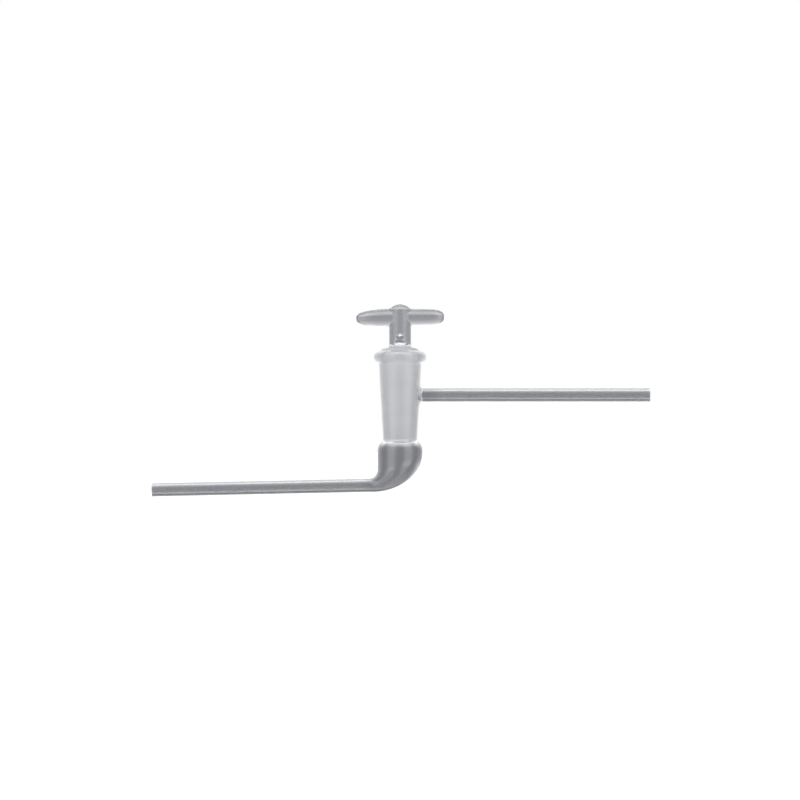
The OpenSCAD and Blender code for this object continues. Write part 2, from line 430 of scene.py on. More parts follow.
    def skin(self, name: str, stations: Sequence[Station], sides: int,
             finishes: Sequence[bpy.types.Material]) -> bpy.types.Mesh:
        """Makes the plain mesh of one loft.

        Args:
            name: the loft's name.
            stations: its rings in order.
            sides: how many columns go round.
            finishes: the material of each zone.

        Returns:
            The mesh, in metres.
        """
        points = bpy.data.meshes.new(name)
        points.from_pydata([tuple(np.array(s.centre) * MM) for s in stations], [], [])
        for key in ("across", "aside"):
            halves = np.array([getattr(s, key) for s in stations]) * MM
            points.attributes.new(key, "FLOAT_VECTOR", "POINT").data.foreach_set("vector", halves.ravel())
        for key in ("zone", "cut", "joints"):
            values = [float(getattr(s, key)) for s in stations]
            points.attributes.new(key, "FLOAT", "POINT").data.foreach_set("value", values)
        holder = bpy.data.objects.new(name, points)
        bpy.context.scene.collection.objects.link(holder)
        modifier = holder.modifiers.new("ring_loft", "NODES")
        modifier.node_group = self.tree
        settings = {"Rings": len(stations), "Sides": sides}
        settings |= {zone.name.title(): finishes[zone] for zone in Zone}
        for label, value in settings.items():
            modifier[self.keys[label]] = value
        graph = bpy.context.evaluated_depsgraph_get()
        mesh = bpy.data.meshes.new_from_object(holder.evaluated_get(graph), depsgraph=graph)
        holder.modifiers.remove(modifier)
        bpy.data.objects.remove(holder)
        bpy.data.meshes.remove(points)
        return mesh


# ---------------------------------------------------------------- joints between walls and tubes


@dataclass(frozen=True)
class Joint:
    """The filleted patch between a hole in a turned wall and the round tube that leaves it along X.

    Attributes:
        side: which way the tube leaves.
        height: height of the tube's axis at the patch.
        wall: the wall.
        radius: the tube's radius.
        spread: how far the fillet spreads over the wall, along Y and along Z.
        rise: how far it runs along the tube, outwards, or inwards if it is negative.
        end: distance from the turned wall's axis to the tube's first ring.
        zone: finish of the part that lies on the wall.
        tube_zone: finish of the part that leads into the tube.
        wall_steps: rings between the hole's edge and the fillet.
        fillet_steps: rings over the fillet.
        end_steps: rings from the fillet to the tube.
    """

    side: Side
    height: float
    wall: Wall
    radius: float
    spread: Point
    rise: float
    end: float
    zone: Zone = Zone.POLISHED
    tube_zone: Zone = Zone.POLISHED
    wall_steps: int = 6
    fillet_steps: int = 8
    end_steps: int = 3

    def edge(self, stations: Sequence[Station], sides: int) -> list[np.ndarray]:
        """Points round the hole's edge, from the middle of its +Y side towards +Z.

        Args:
            stations: the rings of the loft that has the hole.
            sides: how many columns that loft has.

        Returns:
            The points in order.
        """
        holed = [i for i, s in enumerate(stations) if s.cut]
        half = stations[holed[0]].cut
        levels = sorted(stations[holed[0]:holed[-1] + 2], key=lambda s: s.centre[2])
        top = len(levels) - 1
        middle = top // 2
        places = [(k, half) for k in range(middle, top)]
        places += [(top, k) for k in range(half, -half, -1)]
        places += [(k, -half) for k in range(top, 0, -1)]
        places += [(0, k) for k in range(-half, half)]
        places += [(k, half) for k in range(middle)]
        points = []
        for level, column in places:
            angle = math.tau * column / sides
            points.append(levels[level].point(angle if self.side is Side.RIGHT else math.pi - angle))
        return points

    def on_wall(self, reach: float, angle: float, lift: float) -> np.ndarray:
        """Point over the wall.

        Args:
            reach: its distance from the tube's axis.
            angle: its angle about that axis, from +Y towards +Z.
            lift: how far it lies off the wall.

        Returns:
            The point.
        """
        y = reach * math.cos(angle)
        z = self.height + reach * math.sin(angle)
        x = math.sqrt(max(self.wall(z) ** 2 - y * y, 0)) + lift
        return np.array((self.side.value * x, y, z))

    def rings(self, edge: Sequence[np.ndarray]) -> list[tuple[Zone, list[np.ndarray]]]:
        """Rings of the patch with the finish of the band that follows each.

        Args:
            edge: the points round the hole.

        Returns:
            The rings, from the hole's edge to the tube's first ring.
        """
        count = len(edge)
        even = [math.tau * i / count for i in range(count)]
        first = []
        for point, angle in zip(edge, even):
            y, z = point[1], point[2] - self.height
            own = math.atan2(z, y)
            own += math.tau * round((angle - own) / math.tau)
            first.append((math.hypot(y, z), own))
        spread = [self.spread[0] * math.cos(a) ** 2 + self.spread[1] * math.sin(a) ** 2 for a in even]
        rings = [(self.zone, list(edge))]
        for t in np.linspace(0, 1, self.wall_steps + 1)[1:]:
            rings.append((self.zone if t < 1 else self.tube_zone, [
                self.on_wall(mix(reach, self.radius + s, t), mix(own, a, t), 0)
                for (reach, own), a, s in zip(first, even, spread)]))
        for t in np.linspace(0, math.pi / 2, self.fillet_steps + 1)[1:]:
            rings.append((self.tube_zone, [
                self.on_wall(self.radius + s * (1 - math.sin(t)), a, self.rise * (1 - math.cos(t)))
                for a, s in zip(even, spread)]))
        saddle = rings[-1][1]
        for t in np.linspace(0, 1, self.end_steps + 1)[1:]:
            rings.append((self.tube_zone, [
                np.array((mix(p[0], self.side.value * self.end, t), p[1], p[2])) for p in saddle]))
        return rings

    def patch(self, solid: bmesh.types.BMesh, stations: Sequence[Station], sides: int) -> int:
        """Adds the patch to a mesh.

        Args:
            solid: the mesh that gets it.
            stations: the rings of the loft whose hole it closes.
            sides: how many columns that loft has.

        Returns:
            How many sides the tube must have.
        """
        rings = self.rings(self.edge(stations, sides))
        placed = [(zone, [solid.verts.new(p * MM) for p in ring]) for zone, ring in rings]
        count = len(placed[0][1])
        for (zone, near), (_, far) in zip(placed, placed[1:]):
            for i in range(count):
                j = (i + 1) % count
                face = solid.faces.new((near[i], near[j], far[j], far[i]))
                face.material_index = zone.value
                face.smooth = True
        return count


class Piece:
    """One piece of glass, joined from its lofts and patches."""

    def __init__(self, name: str, loft: RingLoft, finishes: Sequence[bpy.types.Material]) -> None:
        """Starts an empty piece.

        Args:
            name: the piece's name.
            loft: the tree that makes its skins.
            finishes: the material of each zone.
        """
        self.name = name
        self.loft = loft
        self.finishes = list(finishes)
        self.solid = bmesh.new()

    def add_skin(self, label: str, stations: Sequence[Station], sides: int) -> None:
        """Adds the skin over a row of stations.

        Args:
            label: what the skin is.
            stations: its rings in order.
            sides: how many columns go round.
        """
        mesh = self.loft.skin(self.name + "_" + label, stations, sides, self.finishes)
        own = [self.finishes.index(m) if m else 0 for m in mesh.materials]
        indices = np.empty(len(mesh.polygons), np.int32)
        mesh.polygons.foreach_get("material_index", indices)
        mesh.polygons.foreach_set("material_index", np.array(own, np.int32)[indices])
        self.solid.from_mesh(mesh)
        bpy.data.meshes.remove(mesh)
        LOG.info("%s: %s, %d rings of %d sides", self.name, label, len(stations), sides)

    def finish(self) -> bpy.types.Object:
        """Joins what was added into one closed mesh with its faces outwards.

        Returns:
            The object, at the origin.
        """
        bmesh.ops.remove_doubles(self.solid, verts=self.solid.verts, dist=SAME_PLACE)
        bmesh.ops.recalc_face_normals(self.solid, faces=self.solid.faces)
        open_edges = sum(1 for e in self.solid.edges if len(e.link_faces) != 2)
        if open_edges:
            raise RuntimeError(f"{self.name} has {open_edges} open edges")
        mesh = bpy.data.meshes.new(self.name)
        for material in self.finishes:
            mesh.materials.append(material)
        self.solid.to_mesh(mesh)
        self.solid.free()
        thing = bpy.data.objects.new(self.name, mesh)
        bpy.context.scene.collection.objects.link(thing)
        LOG.info("%s: closed, %d faces", self.name, len(mesh.polygons))
        return thing


# ---------------------------------------------------------------- the two parts of the stopcock


@dataclass(frozen=True)
class Tubing:
    """Plain drawn tube with fire-polished ends, as both arms are made of.

    Attributes:
        radius: its outer radius.
        wall: its wall.
        polish: radius of the edges at its free end.
        polish_steps: chords round each of them.
        tail: how far before its free end its plain rings stop.
    """

    radius: float = 4.0
    wall: float = 1.2
    polish: float = 0.45
    polish_steps: int = 5
    tail: float = 1.0

    @property
    def bore(self) -> float:
        """Radius of the hole through it."""
        return self.radius - self.wall

    def free_end(self, reach: float) -> list[Point]:
        """Profile over the rounded free end, from outside to inside.

        Args:
            reach: distance of the end along the tube's axis.

        Returns:
            Points of radius and distance.
        """
        size = (self.polish, self.polish)
        outer = arc((self.radius - self.polish, reach - self.polish), size, 0, 90, self.polish_steps)
        inner = arc((self.bore + self.polish, reach - self.polish), size, 90, 180, self.polish_steps)
        return outer + inner

    def stations(self, line: Line, starts: Point, reach: float, steps: int) -> list[Station]:
        """Stations out along the tube's outside, round its free end and back along its inside.

        Args:
            line: its axis.
            starts: distances along the axis at which the outside starts and the inside ends.
            reach: distance of the free end.
            steps: bands along each side.

        Returns:
            The stations.
        """
        back = reach - self.tail
        outside = [(self.radius, t) for t in np.linspace(starts[0], back, steps + 1)]
        inside = [(self.bore, t) for t in np.linspace(back, starts[1], steps + 1)]
        return line.rings(outside) + line.rings(self.free_end(reach) + inside, Zone.HOLLOW)


@dataclass(frozen=True)
class GroundTaper:
    """The ground joint that the body and the plug share.

    Attributes:
        radius: the bore's radius where the side arm's axis crosses it.
        slope: how much the radius grows for each millimetre of height.
        gap: the film of grease between bore and cone.
    """

    radius: float = 9.6
    slope: float = 0.05
    gap: float = 0.05

    def bore(self, z: float) -> float:
        """Radius of the body's bore at a height."""
        return self.radius + self.slope * z

    def cone(self, z: float) -> float:
        """Radius of the plug's cone at a height."""
        return self.bore(z) - self.gap


@dataclass(frozen=True)
class Bend:
    """The blown bulb under the barrel, which draws in and turns into the lower arm.

    Attributes:
        top: height of its widest section.
        radius: radius there.
        wall: wall there.
        depth: how far the arm's axis lies below that section.
        run: length of the heel's quarter turn.
        crook: radius of the inner corner.
        belly: how much fuller the bend is across than it is deep.
        roundness: how late in the turn the section becomes the tube's round.
        fall: fall of the lower arm, in degrees.
        tubing: the arm that it turns into.
        arm_start: distance from the end of the heel to the arm's first plain ring.
        steps: bands over the bend.
    """

    top: float = -34.3
    radius: float = 13.5
    wall: float = 1.5
    depth: float = 19.9
    run: float = 30.1
    crook: float = 5.4
    belly: float = 0.12
    roundness: float = 8.0
    fall: float = 1.2
    tubing: Tubing = Tubing()
    arm_start: float = 4.05
    steps: int = 44

    @property
    def heel_x(self) -> float:
        """Where the heel's quarter turn ends."""
        return self.radius - self.run

    @property
    def line(self) -> Line:
        """The lower arm's axis.

        Returns:
            The axis, from the end of the heel to the free end.
        """
        tilt = math.radians(self.fall)
        c, s = math.cos(tilt), math.sin(tilt)
        return Line((self.heel_x, 0, self.top - self.depth), (-c, 0, -s), (s, 0, -c), (0, 1, 0))

    def axis_z(self, x: float) -> float:
        """Height of the lower arm's axis at a place along X."""
        return self.top - self.depth + (x - self.heel_x) * math.tan(math.radians(self.fall))

    def outline(self, turn: float) -> tuple[np.ndarray, np.ndarray]:
        """Where a section of the bend starts and ends, in X and Z.

        Args:
            turn: how far along the quarter turn the section lies, in degrees.

        Returns:
            Its points on the heel and on the near side.
        """
        u = math.radians(turn)
        heel_depth = self.depth + self.tubing.radius
        heel = np.array((self.heel_x + self.run * math.cos(u), self.top - heel_depth * math.sin(u)))
        crook_x = -self.radius - self.crook
        crook_z = self.axis_z(crook_x) + self.tubing.radius + self.crook
        start = math.degrees(math.asin((self.top - crook_z) / heel_depth))
        if turn < start:
            return heel, np.array((-self.radius, mix(self.top, crook_z, turn / start)))
        v = math.radians(90 * (turn - start) / (90 - start))
        return heel, np.array((crook_x + self.crook * math.cos(v), crook_z - self.crook * math.sin(v)))

    def rings(self, inside: bool) -> list[Station]:
        """Stations of one skin of the bend.

        Args:
            inside: whether it is the inner skin.

        Returns:
            The stations, from the widest section to the arm.
        """
        zone = Zone.HOLLOW if inside else Zone.POLISHED
        stations = []
        for turn in np.linspace(0, 90, self.steps + 1):
            share = turn / 90
            inset = mix(self.wall, self.tubing.wall, share) if inside else 0
            heel, near = self.outline(turn)
            middle = (heel + near) / 2
            span = float(np.linalg.norm(heel - near))
            across = (heel - near) / span * (span / 2 - inset)
            full = 1 + self.belly * math.sin(math.pi * share)
            breadth = mix(span / 2 * full, self.tubing.radius, share ** self.roundness) - inset
            stations.append(Station((middle[0], 0, middle[1]), (across[0], 0, across[1]), (0, breadth, 0),
                                    zone))
        return stations


class GlassPart:
    """What both parts have: a name, the node that they stand for, and the slot of their finish."""

    NAME = ""
    NODE = ""
    SLOT = ""

    def dress(self, thing: bpy.types.Object) -> None:
        """Puts the finished piece on its body in place of the plain solid.

        Args:
            thing: the piece.
        """
        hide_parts(self.NODE)
        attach(thing, self.NODE)


@dataclass
class Body(GlassPart):
    """Barrel with its rim, side arm, bulb and lower arm, fused into one piece of glass.

    Attributes:
        taper: the ground joint.
        tubing: the arms' tube.
        bend: the bulb and its bend.
        wall_top: the barrel's wall under the rim.
        wall_foot: its wall at its foot.
        foot: height of the barrel's foot.
        ground_foot: height at which the ground part of the bore ends.
        bead: radius of the rim's bead.
        overhang: how far the bead stands out past the barrel.
        rim_rise: height of the rim's top above the bead's round.
        lip: width of the narrow flat round the mouth.
        rim_rounds: radii of the mouth's edge, of the lip's edge, and of the corner under the bead.
        rim_steps: chords round these three.
        bead_steps: chords round the bead.
        root_span: how much of the bead that corner takes, in degrees.
        shoulders: height, rounding and its chords, of the bulb's shoulder and of its hollow's.
        shoulder_sink: how far the shoulders start inside the barrel's walls.
        shoulder_angles: where they start, how far before the corner they end, and their direction there.
        shoulder_steps: chords over each.
        lower_reach: reach of the lower arm from the plug's axis.
        lower_steps: bands along it.
        side_steps: bands along the side arm.
        sides: columns round the lofts.
        rows: rows of faces above, along and below the side arm's hole.
        hole: half width of that hole, in columns.
        hole_high: half its height.
        lead: how far the barrel's plain rings stay off its rim and its neck.
        inner_lead: how far the bore's plain rings stay off the hollow's neck.
        clear_rows: rows of faces from there to the ground part of the bore.
        weld_spread: how far the weld spreads over the barrel, along Y and along Z.
        weld_rise: how far it runs out along the arm.
        weld_steps: rings over its fillet.
        weld_end: distance from the plug's axis to the arm's first plain ring.
        mouth_round: rounding where the bore opens into the arm.
        mouth_end: distance from the plug's axis to the arm's last plain ring inside.
    """

    taper: GroundTaper = GroundTaper()
    tubing: Tubing = Tubing()
    bend: Bend = Bend()
    wall_top: float = 2.2
    wall_foot: float = 1.95
    foot: float = -27.5
    ground_foot: float = -26.7
    bead: float = 3.35
    overhang: float = 2.75
    rim_rise: float = 0.95
    lip: float = 0.4
    rim_rounds: Triple = (0.2, 0.6, 0.8)
    rim_steps: Rows = (4, 3, 6)
    bead_steps: int = 28
    root_span: float = 16.0
    shoulders: tuple[tuple[float, float, int], ...] = ((6.8, 0.6, 6), (6.05, 0.35, 5))
    shoulder_sink: float = 0.8
    shoulder_angles: Triple = (2.0, 9.0, 12.0)
    shoulder_steps: int = 16
    lower_reach: float = 149.0
    lower_steps: int = 18
    side_steps: int = 20
    sides: int = 128
    rows: Rows = (8, 32, 12)
    hole: int = 16
    hole_high: float = 11.0
    lead: float = 0.4
    inner_lead: float = 0.2
    clear_rows: int = 2
    weld_spread: Point = (2.2, 4.0)
    weld_rise: float = 1.3
    weld_steps: int = 12
    weld_end: float = 16.0
    mouth_round: float = 0.4
    mouth_end: float = 12.6

    NAME = "glass_body"
    NODE = "body"
    SLOT = "clear_glass"

    def __post_init__(self) -> None:
        """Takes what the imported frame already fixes."""
        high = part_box(self.NODE)[1]
        self.rim = high[2] / MM
        self.side_reach = high[0] / MM
        self.bead_z = self.rim - self.rim_rise - self.bead

    def wall(self, z: float) -> float:
        """The barrel's outer radius.

        Args:
            z: the height.

        Returns:
            The radius there.
        """
        top = self.bead_z - self.bead
        share = (z - self.foot) / (top - self.foot)
        return mix(self.taper.bore(self.foot) + self.wall_foot, self.taper.bore(top) + self.wall_top, share)

    def _root_angle(self, centre_r: float, guess: float = -80.0, tries: int = 40) -> float:
        """Finds where the bead's section meets the barrel's outside.

        Args:
            centre_r: radius of the section's centre.
            guess: first guess at the angle, in degrees.
            tries: how many steps are made from there.

        Returns:
            The angle on the section.
        """
        angle = math.radians(guess)
        for _ in range(tries):
            z = self.bead_z + self.bead * math.sin(angle)
            angle = math.copysign(math.acos(max(-1, min(1, (self.wall(z) - centre_r) / self.bead))), angle)
        return math.degrees(angle)

    def rim_profile(self) -> list[Point]:
        """Profile over the rim, down its slope and round the bead.

        Returns:
            Its points, from the bore's edge to the barrel's outside.
        """
        centre = (self.wall(self.bead_z) + self.overhang - self.bead, self.bead_z)
        size = (self.bead, self.bead)
        edge = on(self.taper.bore, self.rim)
        lip = (edge[0] + self.lip, self.rim)
        # The slope leaves the lip and touches the bead's round
        out = (lip[0] - centre[0], lip[1] - centre[1])
        turn = math.degrees(math.atan2(out[1], out[0]) - math.acos(self.bead / math.hypot(*out)))
        touch = arc(centre, size, turn, turn, 0)[0]
        sizes = list(zip(self.rim_rounds, self.rim_steps))
        mouth = round_corner(on(self.taper.bore, self.rim - AIM), edge, lip, *sizes[0])
        crest = round_corner(edge, lip, touch, *sizes[1])
        slope = [(mix(crest[-1][0], touch[0], t), mix(crest[-1][1], touch[1], t)) for t in (1 / 3, 2 / 3)]
        end = self._root_angle(centre[0])
        last = end + self.root_span
        before, root = arc(centre, size, last, end, 1)
        fillet = round_corner(before, root, on(self.wall, root[1] - AIM), *sizes[2])
        return mouth + crest + slope + arc(centre, size, turn, last, self.bead_steps) + fillet

    def neck_profile(self, inside: bool) -> list[Point]:
        """Profile from the bulb's widest section up its shoulder to the foot of the barrel.

        Args:
            inside: whether it is the hollow's.

        Returns:
            Points of radius and height.
        """
        wall = self.taper.bore if inside else self.wall
        high, rounding, chords = self.shoulders[inside]
        root = wall(self.foot) - self.shoulder_sink
        widest = self.bend.radius - (self.bend.wall if inside else 0)
        return shoulder(wall, self.foot, (root, self.bend.top), (widest - root, high), self.shoulder_angles,
                        rounding, (self.shoulder_steps, chords))

    def stations(self) -> tuple[list[Station], list[Station], list[Station]]:
        """Rings of the body's loft, once round from the rim down its outside and up its inside.

        Returns:
            All its rings, then its outer and its inner barrel rings alone.
        """
        rim, neck, inner_neck = self.rim_profile(), self.neck_profile(False)[::-1], self.neck_profile(True)
        low, high = -self.hole_high, self.hole_high
        outer = pierced(self.wall, (rim[-1][1] - self.lead, high, low, neck[0][1] + self.lead), self.rows,
                        Zone.POLISHED, self.hole)
        inner = pierced(self.taper.bore, (self.ground_foot, low, high, rim[0][1] - self.lead),
                        self.rows[::-1], Zone.GROUND, self.hole)
        reach = (self.lower_reach + self.bend.heel_x) / math.cos(math.radians(self.bend.fall))
        arm = self.tubing.stations(self.bend.line, (self.bend.arm_start, self.bend.arm_start), reach,
                                   self.lower_steps)
        clear_foot = inner_neck[-1][1] + self.inner_lead
        clear_heights = np.linspace(clear_foot, self.ground_foot, self.clear_rows + 1)[:-1]
        clear = [on(self.taper.bore, z) for z in clear_heights]
        loop = turned(rim) + outer + turned(neck) + self.bend.rings(inside=False) + arm
        loop += self.bend.rings(inside=True)[::-1] + turned(inner_neck + clear, Zone.HOLLOW) + inner
        return loop + [loop[0]], outer, inner

    def build(self, loft: RingLoft, finishes: Sequence[bpy.types.Material]) -> bpy.types.Object:
        """Makes the body's mesh.

        Args:
            loft: the tree that makes its skins.
            finishes: the material of each zone.

        Returns:
            The object.
        """
        piece = Piece(self.NAME, loft, finishes)
        loop, outer, inner = self.stations()
        piece.add_skin("main", loop, self.sides)
        weld = Joint(Side.RIGHT, 0, self.wall, self.tubing.radius, self.weld_spread, self.weld_rise,
                     self.weld_end, fillet_steps=self.weld_steps)
        mouth = Joint(Side.RIGHT, 0, self.taper.bore, self.tubing.bore, (self.mouth_round, self.mouth_round),
                      self.mouth_round, self.mouth_end, Zone.GROUND, Zone.GROUND)
        columns = weld.patch(piece.solid, outer, self.sides)
        mouth.patch(piece.solid, inner, self.sides)
        axis = Line((0, 0, 0), (1, 0, 0), (0, 1, 0), (0, 0, 1))
        tube = self.tubing.stations(axis, (self.weld_end, self.mouth_end), self.side_reach,
                                    self.side_steps)
        piece.add_skin("side_arm", tube, columns)
        return piece.finish()


@dataclass(frozen=True)
class Lobe:
    """One side of the T-handle, drawn out of the stem.

    Attributes:
        side: which way it points.
        radius: its radius at the stem.
        lateness: how late along its length it starts to round off.
        fullness: how full its tip is. Smaller is blunter.
        rise: rise towards its tip, in degrees.
        steps: bands along it.
        crowding: how much closer they come together towards the tip.
    """

    side: Side
    radius: float
    lateness: float
    fullness: float
    rise: float
    steps: int = 40
    crowding: float = 2.4

    def at(self, share: float) -> float:
        """Radius at a share of the reach."""
        return self.radius * (1 - share ** self.lateness) ** self.fullness

    def height(self, root: float, x: float) -> float:
        """Height of its axis at a distance from the stem's axis."""
        return root + x * math.tan(math.radians(self.rise))

    def rings(self, root: float, start: float, reach: float) -> list[Station]:
        """Stations of the lobe, from the patch to its tip.

        Args:
            root: height of its axis at the stem's.
            start: distance from the stem's axis at which they start.
            reach: distance of the tip.

        Returns:
            The stations.
        """
        stations = []
        for i in range(self.steps + 1):
            share = mix(start / reach, 1, 1 - (1 - i / self.steps) ** self.crowding)
            x = share * reach
            radius = self.at(share) if i < self.steps else 0
            place = (self.side.value * x, 0, self.height(root, x))
            stations.append(Station(place, (0, radius, 0), (0, 0, radius)))
        return stations


@dataclass
class Plug(GlassPart):
    """Hollow ground cone with its side hole, stem and T-handle, one piece of glass.

    Attributes:
        taper: the ground joint.
        wall: the cone's wall.
        sink: how far the ground cone's top lies below the rim's.
        foot_rounds: radii of the foot's edges, inside and outside.
        foot_steps: chords round each of them.
        foot_leads: how far the plain rings inside and outside stay above the foot.
        dome: height of the rounded shoulder.
        dome_root: radius at which the shoulder levels out.
        dome_angles: where the shoulder starts, how far before the stem it ends, and its direction there.
        dome_round: radius of the corner between shoulder and stem.
        dome_steps: chords over the shoulder and over that corner.
        neck: radius of the hollow where it runs up into the stem.
        neck_span: how much of the hollow's round top is plain, in degrees.
        hollow_shoulder: how far below the cone's top the hollow starts to close in.
        hollow_neck: how far below the shoulder's top it has closed in.
        hollow_rise: height of the hollow's round top above the shoulder.
        hollow_steps: chords over that top, and bands from there down to where the hollow is plain.
        pip: width and height of the point that was drawn up over that top when it was closed.
        pip_flare: shares of its height between which it flares out towards its foot, and rings there.
        pip_steps: chords over its tip.
        stem: the stem's radius.
        stem_lead: how far its plain rings stay above the shoulder.
        cap: radius of the stem's domed top.
        cap_steps: chords over it.
        bar: depth of the crossbar's axis below the stem's top.
        port: radius of the side hole.
        port_round: radius of its edges.
        lobes: the handle's two sides.
        lobe_spread: how far the fillet round a lobe spreads over the stem, along Y and along Z.
        lobe_rise: how far it runs out along the lobe.
        lobe_end: where a lobe's own loft starts.
        sides: columns round the loft.
        hollow_rows: rows of faces above, along and below the port, in the hollow.
        cone_rows: rows of faces below, along and above it, on the cone.
        port_hole: half width of the port's hole, in columns.
        port_high: half its height.
        stem_rows: rows of faces below, along and above the lobes, on the stem.
        lobe_hole: half width of a lobe's hole, in columns.
        lobe_high: half its height.
    """

    taper: GroundTaper = GroundTaper()
    wall: float = 1.9
    sink: float = 0.1
    foot_rounds: Point = (0.6, 0.5)
    foot_steps: int = 5
    foot_leads: Point = (0.9, 0.8)
    dome: float = 1.75
    dome_root: float = 4.0
    dome_angles: Triple = (0.0, 16.0, 14.0)
    dome_round: float = 0.9
    dome_steps: tuple[int, int] = (12, 7)
    neck: float = 5.5
    neck_span: float = 76.0
    hollow_shoulder: float = 4.75
    hollow_neck: float = 0.5
    hollow_rise: float = 3.2
    hollow_steps: tuple[int, int] = (16, 16)
    pip: Point = (3.0, 5.0)
    pip_flare: tuple[float, float, int] = (0.8, 0.1, 7)
    pip_steps: int = 5
    stem: float = 6.5
    stem_lead: float = 2.0
    cap: float = 8.2
    cap_steps: int = 12
    bar: float = 7.8
    port: float = 2.5
    port_round: float = 0.35
    lobes: tuple[Lobe, ...] = (Lobe(Side.LEFT, 5.3, 3, 0.36, -1.7), Lobe(Side.RIGHT, 4.85, 6, 0.33, 0.4))
    lobe_spread: Point = (0.8, 0.9)
    lobe_rise: float = 0.9
    lobe_end: float = 7.8
    sides: int = 96
    hollow_rows: Rows = (6, 24, 8)
    cone_rows: Rows = (8, 24, 8)
    port_hole: int = 12
    port_high: float = 6.0
    stem_rows: Rows = (7, 26, 0)
    lobe_hole: int = 20
    lobe_high: float = 6.6

    NAME = "glass_plug"
    NODE = "plug"
    SLOT = "ground_glass"

    def __post_init__(self) -> None:
        """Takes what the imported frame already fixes."""
        low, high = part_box(self.NODE)
        self.foot = low[2] / MM
        self.top = high[2] / MM
        self.reach = {Side.LEFT: -low[0] / MM, Side.RIGHT: high[0] / MM}
        self.cone_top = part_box(Body.NODE)[1][2] / MM - self.sink
        self.dome_top = self.cone_top + self.dome
        self.bar_z = self.top - self.bar

    def hollow(self, z: float) -> float:
        """Radius of the hollow cone at a height."""
        return self.taper.cone(z) - self.wall

    def stem_wall(self, z: float) -> float:
        """Radius of the stem and of its domed top.

        Args:
            z: the height.

        Returns:
            The radius there.
        """
        above = z - (self.top - self.cap)
        dome = math.sqrt(max(self.cap ** 2 - above ** 2, 0)) if above > 0 else self.stem
        return min(self.stem, dome)

    def _pip_profile(self) -> list[Point]:
        """Profile of the point over the hollow's round top.

        Returns:
            Its points, from its pole down.
        """
        half, height = self.pip[0] / 2, self.pip[1]
        root = self.dome_top + self.hollow_rise
        flare = [(half * (1 + (1 - t) ** 3), root + height * t) for t in np.linspace(*self.pip_flare)]
        return arc((0, root + height - half), (half, half), 90, 0, self.pip_steps) + flare

    def hollow_stations(self) -> list[Station]:
        """Stations of the hollow.

        Returns:
            The stations, from the pole of its top down to its mouth.
        """
        neck_z = self.dome_top - self.hollow_neck
        shoulder_z = self.cone_top - self.hollow_shoulder
        size = (self.neck, self.hollow_neck + self.hollow_rise)
        over, down = self.hollow_steps
        dome = self._pip_profile() + arc((0, neck_z), size, self.neck_span, 0, over)
        closing = [(mix(self.neck, self.hollow(shoulder_z), t * t * (3 - 2 * t)), mix(neck_z, shoulder_z, t))
                   for t in np.linspace(0, 1, down + 1)[1:]]
        levels = (shoulder_z, self.port_high, -self.port_high, self.foot + self.foot_leads[0])
        cone = pierced(self.hollow, levels, self.hollow_rows, Zone.HOLLOW, self.port_hole)
        return turned(dome + closing, Zone.HOLLOW) + cone[1:]

    def cone_stations(self) -> list[Station]:
        """Stations over the foot, up the ground cone and over its shoulder to the stem.

        Returns:
            The stations.
        """
        above = self.foot + AIM
        inner, outer = on(self.hollow, self.foot), on(self.taper.cone, self.foot)
        lip_in = round_corner(on(self.hollow, above), inner, outer, self.foot_rounds[0], self.foot_steps)
        lip_out = round_corner(inner, outer, on(self.taper.cone, above), self.foot_rounds[1],
                               self.foot_steps)
        levels = (self.foot + self.foot_leads[1], -self.port_high, self.port_high, self.cone_top)
        cone = pierced(self.taper.cone, levels, self.cone_rows, Zone.GROUND, self.port_hole)
        size = (self.taper.cone(self.cone_top) - self.dome_root, self.dome)
        dome = shoulder(self.stem_wall, self.cone_top, (self.dome_root, self.cone_top), size,
                        self.dome_angles, self.dome_round, self.dome_steps)
        ground = turned(lip_out, Zone.GROUND) + cone[:-1] + turned(dome[:-1], Zone.GROUND)
        return turned(lip_in) + ground + turned(dome[-1:])

    def stem_stations(self) -> list[Station]:
        """Stations up the stem, past both lobes and over its domed top.

        Returns:
            The stations, up to the pole.
        """
        low, high = self.bar_z - self.lobe_high, self.bar_z + self.lobe_high
        wall = pierced(self.stem_wall, (self.dome_top + self.stem_lead, low, high, high), self.stem_rows,
                       Zone.POLISHED, self.lobe_hole, joints=len(self.lobes))
        start = math.degrees(math.acos(self.stem_wall(high) / self.cap))
        size = (self.cap, self.cap)
        return wall[:-1] + turned(arc((0, self.top - self.cap), size, start, 90, self.cap_steps))

    def build(self, loft: RingLoft, finishes: Sequence[bpy.types.Material]) -> bpy.types.Object:
        """Makes the plug's mesh.

        Args:
            loft: the tree that makes its skins.
            finishes: the material of each zone.

        Returns:
            The object.
        """
        piece = Piece(self.NAME, loft, finishes)
        hollow, cone, stem = self.hollow_stations(), self.cone_stations(), self.stem_stations()
        piece.add_skin("main", hollow + cone + stem, self.sides)
        mid_wall = self.taper.cone(0) - self.wall / 2
        edge = self.port_round
        for wall, rings, rise, zone in ((self.taper.cone, cone, -edge, Zone.GROUND),
                                        (self.hollow, hollow, edge, Zone.HOLLOW)):
            port = Joint(Side.RIGHT, 0, wall, self.port, (edge, edge), rise, mid_wall, zone, Zone.HOLLOW)
            port.patch(piece.solid, rings, self.sides)
        for lobe in self.lobes:
            start, reach = self.lobe_end, self.reach[lobe.side]
            root = Joint(lobe.side, lobe.height(self.bar_z, start), self.stem_wall, lobe.at(start / reach),
                         self.lobe_spread, self.lobe_rise, start)
            columns = root.patch(piece.solid, stem, self.sides)
            piece.add_skin("lobe_" + lobe.side.name.lower(), lobe.rings(self.bar_z, start, reach), columns)
        return piece.finish()


# ---------------------------------------------------------------- finishes


